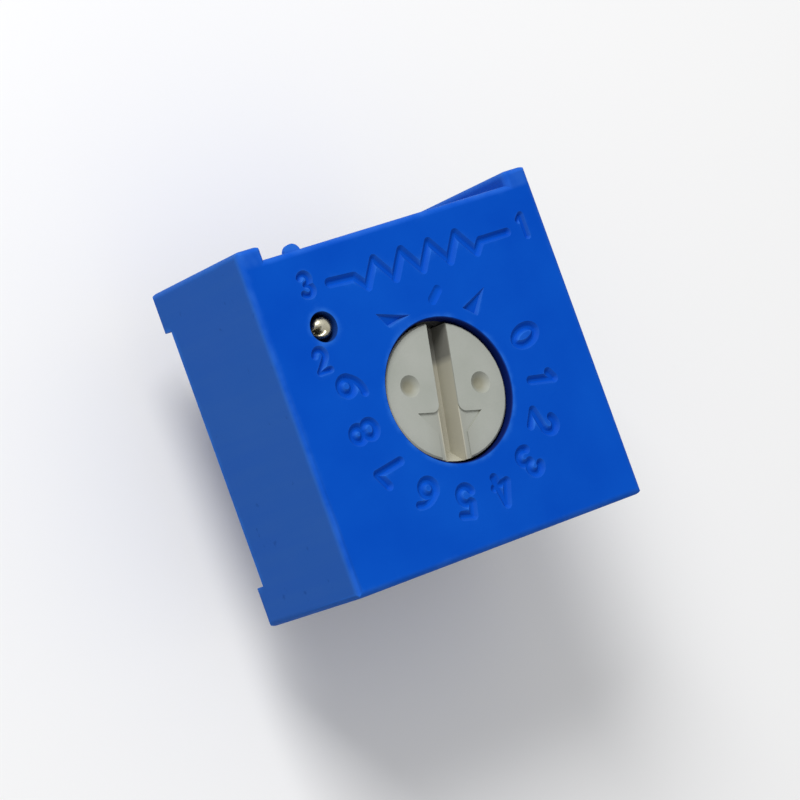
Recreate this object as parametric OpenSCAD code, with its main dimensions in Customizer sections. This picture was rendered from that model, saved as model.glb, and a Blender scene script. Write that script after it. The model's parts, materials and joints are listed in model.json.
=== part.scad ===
// Square single-turn trimmer potentiometer, adjusted with a screwdriver from the top.
// Millimetres. The origin is where the rotor's axis meets the seat plane under the back feet.
// +Z leaves the slotted face, and +Y points to the side wall that carries the two long feet.

/* [Housing] */
// Overall width along X
body_w = 9.65; // [9.2:0.01:10.5]
// Overall depth along Y, with the long side feet
body_d = 9.4; // [9.3:0.01:10.5]
// Height from the seat plane to the slotted face
body_h = 4.77; // [4.6:0.01:6]
// Distance from the rotor's axis to the middle of the body, along +Y
axis_offset = 0.4; // [0:0.05:0.5]
// Thickness of the side walls around the ceramic plate
wall_t = 0.7; // [0.5:0.05:0.9]
// Thickness of the face wall above the rotor's flange
face_t = 0.98; // [0.9:0.01:1.2]
// Rounding of the outer edges
edge_r = 0.18; // [0.05:0.01:0.2]

/* [Feet] */
// Height of the four feet on the back
back_foot_h = 0.3; // [0.2:0.05:0.5]
// Width of each back foot
back_foot_w = 1.1; // [0.7:0.05:1.5]
// Height of the two long feet on the +Y side
side_foot_h = 0.38; // [0.3:0.01:0.5]
// Width of each long foot
side_foot_w = 0.8; // [0.5:0.01:1]
// Width of the small round nub on the +Y side
nub_w = 0.5; // [0.4:0.02:0.6]
// Height of the nub
nub_h = 0.2; // [0.1:0.02:0.22]
// Length of the nub along Z
nub_l = 0.7; // [0.4:0.1:1.5]

/* [Rotor] */
// Diameter of the hole in the face
hole_d = 3.9; // [3.6:0.05:4.3]
// Bevel of that hole's rim
hole_bevel = 0.04; // [0.02:0.01:0.1]
// Radial running gap between the rotor and its hole
rotor_gap = 0.08; // [0.02:0.01:0.1]
// How far the rotor's end lies below the face
rotor_sink = 0.16; // [0:0.01:0.3]
// Bevel of the rotor's rim
rim_bevel = 0.05; // [0.02:0.01:0.1]
// Width of the screwdriver slot
slot_w = 0.62; // [0.4:0.02:0.8]
// Depth of the screwdriver slot
slot_depth = 0.75; // [0.4:0.05:0.85]
// Length of the ramp at the pointer end of the slot
ramp_l = 0.35; // [0.2:0.05:0.6]
// Diameter of the two dimples beside the slot
dimple_d = 0.6; // [0.3:0.05:0.8]
// Distance of each dimple from the slot's middle line
dimple_r = 1.11; // [0.9:0.01:1.3]
// Distance of the dimples from the middle, away from the pointer
dimple_lift = 0.18; // [0:0.02:0.3]
// Depth of the dimples
dimple_depth = 0.16; // [0.05:0.01:0.25]
// Width of the arrow recess at its shoulders
arrow_w = 2; // [1.6:0.1:2.4]
// Width of the arrow recess beside the slot
arrow_shaft_w = 0.92; // [0.85:0.02:1.1]
// Distance from the axis to the arrow's shoulders
arrow_start = 0.55; // [0.3:0.05:0.8]
// Length over which the shoulders taper to the shaft
arrow_taper = 0.55; // [0.3:0.05:0.7]
// Depth of the arrow recess
arrow_depth = 0.14; // [0.08:0.01:0.2]
// How far the arrow recess rises towards the rim
arrow_rise = 0.07; // [0:0.01:0.1]
// Rounding of the lands beside the slot
land_r = 0.22; // [0.1:0.02:0.3]
// Angle by which the pointer is turned clockwise from mid travel
rest_turn = 13; // [0:1:90]
// Total travel between the stops, in degrees
travel = 310; // [240:5:315]
// Width of the stop lug, in degrees
lug_span = 24; // [15:1:30]
// Thickness of the rotor's flange
flange_t = 0.6; // [0.4:0.05:0.7]
// Running gap above the flange
flange_gap = 0.05; // [0.03:0.01:0.1]
// Width of the flange's bearing ring under the face
flange_land = 0.44; // [0.3:0.02:0.5]
// How far the stop lug stands out of the flange
lug_reach = 0.5; // [0.4:0.05:0.7]

/* [Seal ring] */
// Cord diameter of the O-ring
seal_cord = 0.52; // [0.4:0.02:0.6]
// Gap left around the O-ring
seal_gap = 0.02; // [0.01:0.01:0.05]

/* [Contact] */
// Sheet thickness of the spring contact
wiper_t = 0.1; // [0.06:0.01:0.15]
// Height from the flange down to the ceramic plate
wiper_drop = 0.83; // [0.7:0.01:1]
// Width of one contact finger
finger_w = 0.14; // [0.1:0.01:0.16]
// Spacing of neighbouring fingers
finger_pitch = 0.2; // [0.18:0.01:0.24]
// Gap left between a finger and the track
contact_gap = 0.02; // [0.01:0.005:0.04]

/* [Element] */
// Thickness of the ceramic plate
element_t = 0.64; // [0.5:0.02:0.8]
// Gap between the plate and the housing
element_fit = 0.05; // [0.02:0.01:0.1]
// Thickness of the printed films
film_t = 0.03; // [0.02:0.005:0.05]
// Width of the resistive track
track_w = 0.6; // [0.5:0.05:0.8]
// Travel over which the resistance changes, in degrees
electrical_travel = 280; // [220:5:290]
// Outer radius of the collector disc
collector_r = 1.35; // [1.2:0.05:1.5]

/* [Leads] */
// Wire diameter
lead_d = 0.6; // [0.4:0.05:0.65]
// Length of the leads below the seat plane
lead_len = 2.5; // [2:0.1:12]
// Spacing of leads 1 and 3 along X
lead_pitch = 5.08; // [3.81:0.01:5.6]
// Distance of leads 1 and 3 from lead 2 along Y
lead_row = 2.54; // [2:0.01:2.8]
// Radial gap around the wire end in the face
post_gap = 0.11; // [0.05:0.01:0.2]
// Wall between that hole and the rotor's chamber
post_land = 0.14; // [0.05:0.01:0.2]
// How far the wire end lies below the face
post_sink = 0.18; // [0:0.01:0.3]
// Distance from that wire to the inside of the side wall
post_inset = 1.08; // [0.85:0.01:1.3]
// Size of the solder fillets on leads 1 and 3
solder_r = 0.3; // [0.15:0.01:0.35]
// Size of the low fillet on lead 2, under the rotor
low_solder_r = 0.14; // [0.08:0.01:0.2]

/* [Resin] */
// How far the resin lies inside the back rim
resin_sink = 0.25; // [0.1:0.05:0.4]

/* [Hidden] */
$fn = 64;

// Overrun of a cut past the face that it opens
over = 0.5;
// Depth to which joined shapes of one solid run into each other
bite = 0.05;
// Flats in each quarter of a rounded edge
round_steps = 6;

// Plan of the housing
side_x = body_w / 2;
low_y = axis_offset - body_d / 2;
high_y = axis_offset + body_d / 2;
recess_y = high_y - side_foot_h;
pocket_x = side_x - wall_t;
pocket_low_y = low_y + wall_t;
pocket_high_y = recess_y - wall_t;

// Heights, from the face down
face_z = body_h;
ceiling_z = face_z - face_t;
rotor_top_z = face_z - rotor_sink;
flange_top_z = ceiling_z - flange_gap;
flange_z = flange_top_z - flange_t;
element_top_z = flange_z - wiper_drop;
element_z = element_top_z - element_t;
film_top_z = element_top_z + film_t;
resin_z = back_foot_h + resin_sink;

// Radii, from the rotor's hole out
rotor_r = hole_d / 2 - rotor_gap;
seal_r = rotor_r + seal_gap + seal_cord / 2;
groove_r = seal_r + seal_cord / 2 + seal_gap;
groove_h = seal_cord + 2 * seal_gap;
flange_r = groove_r + flange_land;
lug_r = flange_r + lug_reach;
chamber_r = lug_r + rotor_gap;

// The stop: a lug on the flange under the pointer, and a rib in the chamber's +Y side
pointer_angle = -90;
stop_slack = 1;
rib_span = 360 - travel - lug_span - 2 * stop_slack;
rib_r = flange_r + rotor_gap;
rib_z = flange_z - 2 * wiper_t;

// The contact: a C-shaped plate whose fingers reach down across its window
wiper_r = flange_r - rotor_gap;
wiper_z = flange_z - wiper_t;
peg_r = 0.25;
peg_x = 1.5;
peg_y = 1.2;
hub_r = 0.55;
peg_h = wiper_t + 0.08;
window_x = 1;
window_y = 0.65;
finger_root = 0.2;
finger_tip = 0.4;
finger_lift = 0.3;
contact_l = 0.08;
contact_z = film_top_z + contact_gap;
outer_fingers = 3;
inner_fingers = 2;
inner_finger_r = window_y + finger_pitch * inner_fingers / 2 + finger_w / 2;

// The printed films
track_r = flange_r - track_w;
track_half = electrical_travel / 2;
pad_half = travel / 2 + stop_slack;
pad_overrun = 4;
pad_band = 0.45;
pad_clear = 0.15;
pad_neck = 0.8;
pad_rim = 0.05;

// The leads
lead_r = lead_d / 2;
hole_fit = 0.05;
lead_hole_r = lead_r + hole_fit;
post_hole_r = lead_r + post_gap;
post_r = chamber_r + post_land + post_hole_r;
post_x = pocket_x - post_inset;
post_turn = asin(post_x / post_r);
post_y = post_r * cos(post_turn);
pad_r = lead_r + solder_r + pad_rim;
joint_room = 0.1;
joint_pocket_r = pad_r + joint_room;
joint_pocket_h = solder_r + film_t + joint_room;
blind_h = 0.25;
tip_h = 0.15;
tip_r = lead_r * 0.65;
dome_r = lead_r * 1.2;
knee_r = lead_r + 0.01;
knee_low_z = resin_z + 0.1;
knee_high_z = element_z - lead_r - 0.05;
collar_r = 0.5;
solder_edge = 0.02;
collar_z = resin_z + 0.05;

// A ring segment between two angles
module arc_bar(r_in, r_out, h, from, to) {
    rotate([0, 0, from])
        rotate_extrude(angle = to - from)
            translate([r_in, 0])
                square([r_out - r_in, h]);
}

// A quarter circle, as points
function quarter(centre, r, from) =
    [for (i = [0 : round_steps]) let (a = from + 90 * i / round_steps) centre + r * [cos(a), sin(a)]];

// A rectangle with rounded corners, as points
function soft_outline(low, high, r) = concat(
    quarter([high.x - r, high.y - r], r, 0),
    quarter([low.x + r, high.y - r], r, 90),
    quarter([low.x + r, low.y + r], r, 180),
    quarter([high.x - r, low.y + r], r, 270));

// A block whose edges are all rounded: its plan, front and side outlines, each run through the block
module soft_block(low, high, r) {
    run = high - low + [2 * over, 2 * over, 2 * over];
    intersection() {
        translate([0, 0, low.z - over])
            linear_extrude(run.z)
                polygon(soft_outline([low.x, low.y], [high.x, high.y], r));
        translate([0, high.y + over, 0])
            rotate([90, 0, 0])
                linear_extrude(run.y)
                    polygon(soft_outline([low.x, low.z], [high.x, high.z], r));
        translate([low.x - over, 0, 0])
            rotate([90, 0, 90])
                linear_extrude(run.x)
                    polygon(soft_outline([low.y, low.z], [high.y, high.z], r));
    }
}

// A box between two corners
module box(low, high) {
    translate(low)
        cube(high - low);
}

// A round bar between two points
module bar(from, to, r) {
    run = to - from;
    translate(from)
        rotate([0, acos(run.z / norm(run)), atan2(run.y, run.x)])
            cylinder(h = norm(run), r = r);
}

// Turns the rotor's pieces from mid travel to where they rest
module at_rest() {
    rotate([0, 0, -rest_turn])
        children();
}

// Housing

// A long foot in a corner of the +Y side
module side_foot() {
    soft_block([side_x - side_foot_w, recess_y - 4 * edge_r, 0], [side_x, high_y, face_z], edge_r);
}

module outer_form() {
    soft_block([-side_x, low_y, 0], [side_x, recess_y, face_z], edge_r);
    side_foot();
    mirror([1, 0, 0])
        side_foot();
}

// Crossed channels that leave the four back feet
module back_cuts() {
    cross_x = side_x - back_foot_w;
    box([-cross_x, low_y - over, -over], [cross_x, high_y + over, back_foot_h]);
    box([-side_x - over, low_y + back_foot_w, -over], [side_x + over, high_y - back_foot_w, back_foot_h]);
}

module rotor_cuts() {
    translate([0, 0, element_top_z - bite])
        cylinder(h = ceiling_z - element_top_z + bite, r = chamber_r);
    translate([0, 0, ceiling_z - bite])
        cylinder(h = groove_h + bite, r = groove_r);
    translate([0, 0, ceiling_z])
        cylinder(h = face_t + over, d = hole_d);
    translate([0, 0, face_z - hole_bevel])
        cylinder(h = hole_bevel + over, d1 = hole_d, d2 = hole_d + 2 * (hole_bevel + over));
}

// Room over the ceramic plate for the solder and the wire's end
module post_cuts(side, top_z) {
    translate([side * post_x, post_y, element_top_z - bite]) {
        cylinder(h = joint_pocket_h + bite, r = joint_pocket_r);
        cylinder(h = top_z - element_top_z + bite, r = post_hole_r);
    }
}

module stop_rib() {
    middle = pointer_angle + 180;
    translate([0, 0, rib_z])
        arc_bar(rib_r, chamber_r + bite, ceiling_z + bite - rib_z,
            middle - rib_span / 2, middle + rib_span / 2);
}

module side_nub() {
    translate([-post_x, recess_y + nub_h - nub_w / 2, face_z - edge_r - nub_l])
        cylinder(h = nub_l, d = nub_w);
}

module housing() {
    color([0.05, 0.31, 0.74]) {
        difference() {
            outer_form();
            back_cuts();
            box([-pocket_x, pocket_low_y, -over], [pocket_x, pocket_high_y, element_top_z]);
            rotor_cuts();
            post_cuts(-1, face_z + over);
            post_cuts(1, element_top_z + joint_pocket_h + blind_h);
        }
        stop_rib();
        side_nub();
    }
}

// Rotor, drawn at mid travel with its pointer towards -Y

module slot_cut() {
    floor_z = rotor_top_z - slot_depth;
    end_y = -rotor_r - over;
    ramp_y = -rotor_r + ramp_l;
    rise = slot_depth - arrow_depth;
    translate([-slot_w / 2, 0, 0])
        rotate([90, 0, 90])
            linear_extrude(slot_w)
                polygon([[rotor_r + over, rotor_top_z + over], [end_y, rotor_top_z + over],
                    [end_y, floor_z + rise], [-rotor_r, floor_z + rise], [ramp_y, floor_z],
                    [rotor_r + over, floor_z]]);
}

// Plan of the arrow recess, with the corners of the two lands rounded beside the slot
module arrow_plan() {
    shaft_y = -arrow_start - arrow_taper;
    end_y = -rotor_r - over;
    polygon([[-arrow_w / 2, -arrow_start], [arrow_w / 2, -arrow_start],
        [arrow_shaft_w / 2, shaft_y], [arrow_shaft_w / 2, end_y],
        [-arrow_shaft_w / 2, end_y], [-arrow_shaft_w / 2, shaft_y]]);
    corner_x = slot_w / 2 + land_r;
    difference() {
        translate([-corner_x, -arrow_start - bite])
            square([2 * corner_x, land_r + bite]);
        for (side = [-1, 1])
            translate([side * corner_x, land_r - arrow_start])
                circle(land_r);
    }
}

// The recess is deepest at its shoulders and rises towards the rim
module arrow_cut() {
    floor_z = rotor_top_z - arrow_depth;
    start_y = land_r - arrow_start;
    end_y = -rotor_r - over;
    intersection() {
        translate([0, 0, floor_z - bite])
            linear_extrude(arrow_depth + bite + over)
                arrow_plan();
        translate([-arrow_w, 0, 0])
            rotate([90, 0, 90])
                linear_extrude(2 * arrow_w)
                    polygon([[start_y + bite, floor_z], [-arrow_start, floor_z],
                        [-rotor_r, floor_z + arrow_rise], [end_y, floor_z + arrow_rise],
                        [end_y, face_z + over], [start_y + bite, face_z + over]]);
    }
}

// A dimple is a ball cap of the given width and depth
module dimple_cut() {
    ball_r = (pow(dimple_d / 2, 2) + pow(dimple_depth, 2)) / (2 * dimple_depth);
    for (side = [-1, 1])
        translate([side * dimple_r, dimple_lift, rotor_top_z - dimple_depth + ball_r])
            sphere(ball_r);
}

// Half section of the turned form: hub, flange, neck and bevelled rim
module rotor_form() {
    hub_z = flange_z - peg_h;
    rotate_extrude()
        polygon([[0, hub_z], [hub_r, hub_z], [hub_r, flange_z], [flange_r, flange_z],
            [flange_r, flange_top_z], [rotor_r, flange_top_z], [rotor_r, rotor_top_z - rim_bevel],
            [rotor_r - rim_bevel, rotor_top_z], [0, rotor_top_z]]);
}

module stop_lug() {
    translate([0, 0, flange_z])
        arc_bar(flange_r - bite, lug_r, flange_t, pointer_angle - lug_span / 2, pointer_angle + lug_span / 2);
}

module contact_pegs() {
    for (side = [-1, 1])
        translate([side * peg_x, peg_y, flange_z - peg_h])
            cylinder(h = peg_h + bite, r = peg_r);
}

module rotor() {
    color([0.65, 0.67, 0.63])
        at_rest() {
            difference() {
                rotor_form();
                slot_cut();
                arrow_cut();
                dimple_cut();
            }
            stop_lug();
            contact_pegs();
        }
}

module rotor_seal() {
    color([0.12, 0.12, 0.13])
        translate([0, 0, ceiling_z + seal_gap + seal_cord / 2])
            rotate_extrude()
                translate([seal_r, 0])
                    circle(d = seal_cord);
}

// Spring contact

module contact_finger(y) {
    rise = wiper_t * 1.1;
    root_x = window_x + finger_root;
    translate([0, y + finger_w / 2, 0])
        rotate([90, 0, 0])
            linear_extrude(finger_w)
                polygon([[root_x, wiper_z], [window_x, wiper_z], [contact_l, contact_z],
                    [-contact_l, contact_z], [-finger_tip, contact_z + finger_lift],
                    [-finger_tip, contact_z + finger_lift + rise], [-contact_l / 2, contact_z + rise],
                    [contact_l / 2, contact_z + rise], [window_x - contact_l / 2, flange_z],
                    [root_x, flange_z]]);
}

module contact_plate() {
    translate([0, 0, wiper_z])
        difference() {
            cylinder(h = wiper_t, r = wiper_r);
            translate([0, 0, -over])
                cylinder(h = wiper_t + 2 * over, r = hub_r + seal_gap);
            for (side = [-1, 1])
                translate([side * peg_x, peg_y, -over])
                    cylinder(h = wiper_t + 2 * over, r = peg_r + seal_gap);
            box([-window_x, -wiper_r - over, -over], [window_x, -window_y, wiper_t + over]);
        }
}

module wiper_contact() {
    color([0.83, 0.7, 0.42])
        at_rest() {
            contact_plate();
            for (i = [0 : outer_fingers - 1])
                contact_finger(-track_r + (i - (outer_fingers - 1) / 2) * finger_pitch);
            for (i = [0 : inner_fingers - 1])
                contact_finger(-inner_finger_r + (i - (inner_fingers - 1) / 2) * finger_pitch);
        }
}

// Ceramic element and its printed films

module lead_holes(low_z, h) {
    for (place = [[0, 0], [-post_x, post_y], [post_x, post_y]])
        translate([place.x, place.y, low_z])
            cylinder(h = h, r = lead_hole_r);
}

module element_base() {
    color([0.93, 0.92, 0.88])
        difference() {
            box([-pocket_x + element_fit, pocket_low_y + element_fit, element_z],
                [pocket_x - element_fit, pocket_high_y - element_fit, element_top_z]);
            lead_holes(element_z - over, element_t + 2 * over);
        }
}

module resistive_track() {
    color([0.16, 0.15, 0.15])
        translate([0, 0, element_top_z])
            arc_bar(track_r - track_w / 2, track_r + track_w / 2, film_t,
                pointer_angle - track_half, pointer_angle + track_half);
}

module collector_track() {
    color([0.78, 0.77, 0.74])
        difference() {
            translate([0, 0, element_top_z])
                cylinder(h = film_t, r = collector_r);
            lead_holes(element_top_z - over, film_t + 2 * over);
        }
}

// The +X pad runs from the track's end, out past the track and round to the lead
module end_pad() {
    post_angle = 90 - post_turn;
    end_angle = pointer_angle + track_half;
    stop_angle = pointer_angle + pad_half + pad_overrun;
    inner_r = track_r - track_w / 2;
    band_r = track_r + track_w / 2 + pad_clear;
    rim_r = band_r + pad_band;
    color([0.78, 0.77, 0.74])
        translate([0, 0, element_top_z])
            difference() {
                union() {
                    arc_bar(inner_r, rim_r, film_t, end_angle, stop_angle);
                    arc_bar(band_r, rim_r, film_t, post_angle, end_angle + pad_overrun);
                    rotate([0, 0, post_angle])
                        translate([band_r, -pad_neck / 2, 0])
                            cube([post_r - band_r, pad_neck, film_t]);
                    translate([post_x, post_y, 0])
                        cylinder(h = film_t, r = pad_r);
                }
                lead_holes(-over, film_t + 2 * over);
            }
}

module end_pad_1() { end_pad(); }

module end_pad_3() {
    mirror([1, 0, 0])
        end_pad();
}

// Leads and their joints

module lead_tip(place) {
    translate([place.x, place.y, -lead_len])
        cylinder(h = tip_h, r1 = tip_r, r2 = lead_r);
}

// A wire end with a low dome on top
module wire_top(place, low_z, top_z) {
    intersection() {
        translate([place.x, place.y, low_z])
            cylinder(h = top_z - low_z + bite, r = lead_r);
        translate([place.x, place.y, top_z - dome_r])
            union() {
                sphere(dome_r);
                translate([0, 0, low_z - top_z - over])
                    cylinder(h = top_z - low_z + over, r = dome_r);
            }
    }
}

// Leads 1 and 3 step outward inside the resin, from the board's grid to the ceramic plate's holes
module stepped_run(side, low_z) {
    foot = [side * lead_pitch / 2, lead_row, knee_low_z];
    post = [side * post_x, post_y, knee_high_z];
    bar([foot.x, foot.y, low_z], foot, lead_r);
    translate(foot)
        sphere(knee_r);
    bar(foot, post, lead_r);
    translate(post)
        sphere(knee_r);
}

module stepped_wire(side, top_z) {
    lead_tip([side * lead_pitch / 2, lead_row]);
    stepped_run(side, tip_h - lead_len);
    wire_top([side * post_x, post_y], knee_high_z, top_z);
}

// Lead 2 is straight, with an upset collar under the ceramic plate
module collar() {
    translate([0, 0, collar_z])
        cylinder(h = element_z - collar_z, r = collar_r);
}

module straight_wire() {
    lead_tip([0, 0]);
    bar([0, 0, tip_h - lead_len], [0, 0, collar_z + bite], lead_r);
    collar();
    wire_top([0, 0], element_z - bite, film_top_z + low_solder_r + dome_r / 4);
}

module lead_1() {
    color([0.8, 0.79, 0.75])
        stepped_wire(1, film_top_z + joint_pocket_h);
}

module lead_2() {
    color([0.8, 0.79, 0.75])
        straight_wire();
}

module lead_3() {
    color([0.8, 0.79, 0.75])
        stepped_wire(-1, face_z - post_sink);
}

// A hollow fillet of solder round a wire
module solder_joint(place, r) {
    color([0.7, 0.71, 0.72])
        translate([place.x, place.y, film_top_z])
            rotate_extrude()
                difference() {
                    translate([lead_r, 0])
                        square(r);
                    translate([lead_r + r, r])
                        circle(r - solder_edge);
                }
}

module solder_1() { solder_joint([post_x, post_y], solder_r); }

module solder_2() { solder_joint([0, 0], low_solder_r); }

module solder_3() { solder_joint([-post_x, post_y], solder_r); }

// Resin that fills the back around the leads
module back_seal() {
    color([0.13, 0.3, 0.62])
        difference() {
            box([-pocket_x, pocket_low_y, resin_z], [pocket_x, pocket_high_y, element_z]);
            for (side = [-1, 1]) {
                stepped_run(side, resin_z - over);
                bar([side * post_x, post_y, knee_high_z], [side * post_x, post_y, element_z + over], lead_r);
            }
            bar([0, 0, resin_z - over], [0, 0, collar_z + bite], lead_r);
            collar();
        }
}

housing();
rotor();
rotor_seal();
wiper_contact();
element_base();
resistive_track();
collector_track();
end_pad_1();
end_pad_3();
lead_1();
lead_2();
lead_3();
solder_1();
solder_2();
solder_3();
back_seal();
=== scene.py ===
# %% [markdown]
# # A square trimmer potentiometer
# A trimmer is a small variable resistor that is set once with a screwdriver. This one is a blue moulded
# box a little over 9 mm square. A pale rotor turns in a round hole in its face, and the end of one tinned
# wire shows in a small hole beside it. The solid model gives every piece its size and place, and this file
# gives every surface its finish. Shapes are worked out in millimetres and scaled to metres at the end.

# %% Load the solid model
import json
import math

import bmesh
import bpy
from mathutils import Matrix, Vector

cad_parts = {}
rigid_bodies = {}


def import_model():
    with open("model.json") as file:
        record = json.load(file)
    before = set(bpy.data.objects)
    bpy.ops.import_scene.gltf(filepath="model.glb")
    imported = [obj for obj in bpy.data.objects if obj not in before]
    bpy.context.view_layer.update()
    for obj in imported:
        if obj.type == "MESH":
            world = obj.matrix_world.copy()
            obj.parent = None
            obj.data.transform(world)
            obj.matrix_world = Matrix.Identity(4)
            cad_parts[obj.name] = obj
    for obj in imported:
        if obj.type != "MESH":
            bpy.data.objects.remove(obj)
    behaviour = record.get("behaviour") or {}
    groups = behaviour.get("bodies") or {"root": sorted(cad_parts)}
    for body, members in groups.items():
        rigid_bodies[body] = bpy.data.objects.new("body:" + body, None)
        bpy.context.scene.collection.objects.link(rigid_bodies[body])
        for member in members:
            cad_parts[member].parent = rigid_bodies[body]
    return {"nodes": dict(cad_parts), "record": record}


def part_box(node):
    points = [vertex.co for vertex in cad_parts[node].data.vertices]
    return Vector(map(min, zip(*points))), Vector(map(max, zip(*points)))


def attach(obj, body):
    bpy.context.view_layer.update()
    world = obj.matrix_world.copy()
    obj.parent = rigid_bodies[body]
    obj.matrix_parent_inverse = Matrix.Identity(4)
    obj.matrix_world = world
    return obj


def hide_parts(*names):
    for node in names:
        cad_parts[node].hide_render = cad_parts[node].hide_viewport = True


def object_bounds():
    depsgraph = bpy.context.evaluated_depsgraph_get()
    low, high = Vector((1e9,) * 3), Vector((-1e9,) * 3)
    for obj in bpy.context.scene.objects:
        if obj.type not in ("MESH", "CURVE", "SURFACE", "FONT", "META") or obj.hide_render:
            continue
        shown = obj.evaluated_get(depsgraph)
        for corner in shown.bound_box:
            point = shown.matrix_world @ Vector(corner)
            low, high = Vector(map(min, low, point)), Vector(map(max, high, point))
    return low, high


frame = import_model()
cad_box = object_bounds()
nodes = frame["nodes"]
MM = 0.001
print("pieces:", ", ".join(sorted(nodes)))

# %% [markdown]
# ## Measures
# Heights and places come from the boxes of the solid pieces, so that the finish follows the model if a
# size is changed there. The wire's end lies in the middle of its ring of solder, and the radius of each
# hole is the distance from its middle to the nearest corners of the face. Only the long feet's size is
# written here, because no box gives it.

# %% Measure the pieces, in millimetres
FOOT_WIDE = 0.8
FOOT_HIGH = 0.38
SAME_LEVEL = 0.01


def box_mm(node):
    low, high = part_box(node)
    return low / MM, high / MM


def middle_mm(node):
    low, high = box_mm(node)
    return (low + high) / 2


face_z = box_mm("housing")[1].z
rotor_top_z = box_mm("rotor")[1].z
seal_low_z = box_mm("rotor_seal")[0].z
wire_top_z = box_mm("lead_3")[1].z
wire_at = middle_mm("solder_3").xy
mounts = {mount["name"]: mount for mount in frame["record"]["mounts"]}
wire_r = mounts["lead_2_pin"]["dims"]["r_mm"]


def hole_radius(middle):
    """How near the corners of the housing's face come to the middle of a hole in it."""
    corners = (vertex.co / MM for vertex in nodes["housing"].data.vertices)
    return min((corner.xy - middle).length for corner in corners if corner.z > face_z - SAME_LEVEL)


rotor_hole_r = hole_radius(Vector((0, 0)))
wire_hole_r = hole_radius(wire_at)
sheltered_x = box_mm("housing")[1].x - FOOT_WIDE
sheltered_y = box_mm("housing")[1].y - FOOT_HIGH
print(f"face at {face_z:.2f} mm, rotor's end at {rotor_top_z:.2f} mm")
print(f"radius of the rotor's hole {rotor_hole_r:.2f} mm, of the wire's hole {wire_hole_r:.2f} mm")
print(f"wire ends at {wire_at.x:.2f}, {wire_at.y:.2f}, height {wire_top_z:.2f} mm")

# %% [markdown]
# ## Helpers for shader nodes
# Node trees read best when each line says what a node is and what feeds it. `add` makes one node and
# fills its inputs with numbers or with other nodes' outputs. `blend` mixes two colours, and `group` starts
# a node group with named sockets, so that one effect can serve several finishes.

# %% Colours and single nodes
def linear(red, green, blue):
    """A colour as paint programs give it, from 0 to 255, in Blender's linear values."""
    def channel(value):
        value /= 255
        return value / 12.92 if value <= 0.04045 else ((value + 0.055) / 1.055) ** 2.4
    return (channel(red), channel(green), channel(blue), 1)


def feed(tree, socket, value):
    if isinstance(value, bpy.types.NodeSocket):
        tree.links.new(value, socket)
    else:
        socket.default_value = value


def add(tree, kind, inputs=None, **settings):
    made = tree.nodes.new(kind)
    for name, value in settings.items():
        setattr(made, name, value)
    for name, value in (inputs or {}).items():
        feed(tree, made.inputs[name], value)
    return made


def blend(tree, share, first, second):
    """Mixes two colours. A Mix node's sockets for colours have names that repeat, so they go by number."""
    mix = add(tree, "ShaderNodeMix", {0: share, 6: first, 7: second}, data_type="RGBA")
    return mix.outputs[2]


def reckon(tree, operation, first, second=0.0):
    return add(tree, "ShaderNodeMath", {0: first, 1: second}, operation=operation).outputs[0]


def remap(tree, value, low, high, to_low=0.0, to_high=1.0):
    return add(tree, "ShaderNodeMapRange", {
        "Value": value, "From Min": low, "From Max": high, "To Min": to_low, "To Max": to_high,
    }).outputs["Result"]


def noise(tree, place, scale, detail=3.0):
    texture = add(tree, "ShaderNodeTexNoise", {"Vector": place, "Scale": scale, "Detail": detail})
    return texture.outputs["Fac"]


print("node helpers ready")

# %% Places on a surface, and node groups
def millimetres(tree):
    """Places on the piece in millimetres, which ride with it when it moves."""
    place = add(tree, "ShaderNodeTexCoord").outputs["Object"]
    return add(tree, "ShaderNodeVectorMath", {0: place, "Scale": 1 / MM}, operation="SCALE").outputs[0]


def group(name, inputs, outputs):
    tree = bpy.data.node_groups.new(name, "ShaderNodeTree")
    for label, kind, value in inputs:
        socket = tree.interface.new_socket(label, in_out="INPUT", socket_type=kind)
        if value is not None:
            socket.default_value = value
    for label in outputs:
        tree.interface.new_socket(label, in_out="OUTPUT", socket_type="NodeSocketFloat")
    source = tree.nodes.new("NodeGroupInput").outputs
    sink = tree.nodes.new("NodeGroupOutput").inputs
    return tree, source, sink


def place_effect(tree, effect, **inputs):
    """Puts a node group into a material with its own values, and gives back its outputs."""
    placed = add(tree, "ShaderNodeGroup", node_tree=effect)
    for name, value in inputs.items():
        feed(tree, placed.inputs[name.capitalize()], value)
    return placed.outputs


print("group helpers ready")

# %% [markdown]
# ## Moulding grain
# A moulded surface is never one even tone: filler and pigment leave broad clouds, and the tool's spark
# eroded skin leaves a fine grain. One noise texture gives the clouds and another the grain. They sit in a
# group because the body, the rotor, the seal and the resin all use them, each at its own scale.

# %% Node group: moulding grain
VECTOR = "NodeSocketVector"
FLOAT = "NodeSocketFloat"
CLOUD_SWELL = 0.6


def make_grain():
    tree, source, sink = group(
        "moulding_grain", [("Place", VECTOR, None), ("Clouds", FLOAT, 0.6), ("Grain", FLOAT, 20.0)],
        ["Tone", "Height"])
    clouds = noise(tree, source["Place"], source["Clouds"], detail=4.0)
    grain = noise(tree, source["Place"], source["Grain"], detail=2.0)
    swell = reckon(tree, "MULTIPLY", clouds, CLOUD_SWELL)
    tree.links.new(remap(tree, clouds, low=0.3, high=0.7), sink["Tone"])
    tree.links.new(reckon(tree, "ADD", swell, grain), sink["Height"])
    return tree


grain_effect = make_grain()
print("group:", grain_effect.name)
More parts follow.
